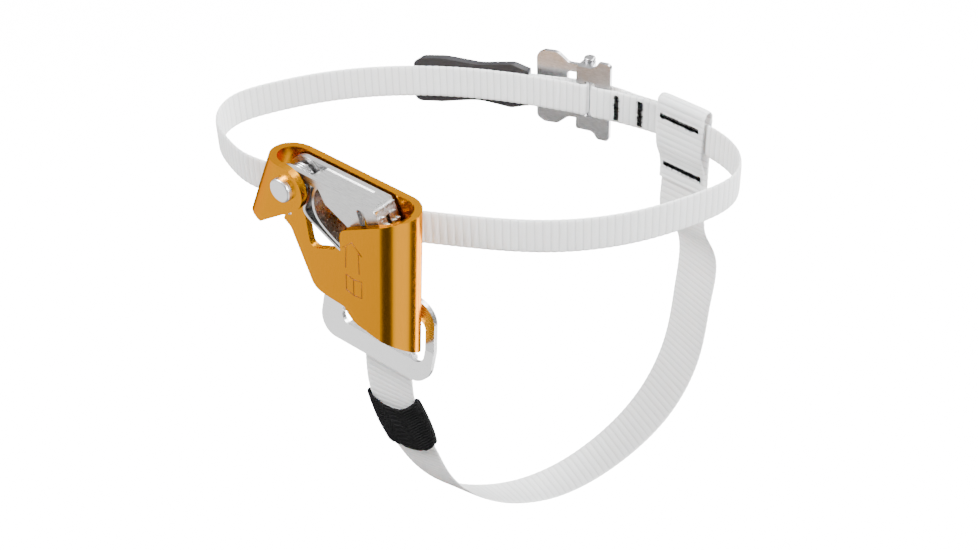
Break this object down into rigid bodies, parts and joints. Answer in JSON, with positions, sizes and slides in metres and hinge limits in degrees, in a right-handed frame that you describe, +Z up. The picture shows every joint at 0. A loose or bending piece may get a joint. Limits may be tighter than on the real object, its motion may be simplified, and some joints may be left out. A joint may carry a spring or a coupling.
{
  "type": "foot-mounted rope ascender",
  "caption": "Foot-mounted rope ascender: folded gold frame with a rope channel and toothed cam, steel strap bracket, buckled ankle strap and under-foot strap",
  "frame": {"origin": "on the rope axis, level with the cam axle", "axes": "+Z up along the rope, -Y the open front of the frame, +X from the cam axle to the rope"},
  "size_m": [0.2051, 0.1664, 0.2056],
  "materials": {
    "gold_anodised": "satin gold anodised",
    "plated_cam": "plated, smooth",
    "rivet_steel": "polished",
    "dark_steel": "dark",
    "spring_steel": "drawn wire",
    "bracket_steel": "satin stainless",
    "buckle_steel": "satin",
    "white_webbing": "ribbed weave",
    "black_plastic": "fine grain",
    "black_thread": "bar tack",
    "black_knit": "knitted"
  },
  "bodies": {
    "ascender": {"frame": "gold_anodised", "cam_axle": "rivet_steel", "axle_bush": "dark_steel", "cam_spring": "spring_steel", "strap_bracket": "bracket_steel", "strap_bar": "bracket_steel", "bracket_rivets": "rivet_steel", "ankle_webbing": "white_webbing", "tail_tab": "black_plastic", "ankle_tack_near_buckle": "black_thread", "ankle_tack_far": "black_thread", "buckle_frame": "buckle_steel", "buckle_pin": "buckle_steel", "foot_webbing": "white_webbing", "foot_sleeve": "black_knit", "foot_tack_upper": "black_thread", "foot_tack_lower": "black_thread", "foot_end_tack": "black_thread"},
    "cam_body": {"cam": "plated_cam"},
    "buckle_lever_body": {"buckle_lever": "buckle_steel"}
  },
  "joints": [
    {"name": "cam_pivot", "type": "hinge", "parent": "ascender", "child": "cam_body", "pos_m": [-0.0472, 0, 0], "axis": [0, 1, 0], "range_deg": [0, 48], "stiffness_Nm_per_rad": 0.03, "springref_deg": -68.75},
    {"name": "buckle_lever_pivot", "type": "hinge", "parent": "ascender", "child": "buckle_lever_body", "pos_m": [-0.01043, 0.14016, -0.01286], "axis": [0.0785, 0, -0.9969], "range_deg": [0, 100]}
  ]
}
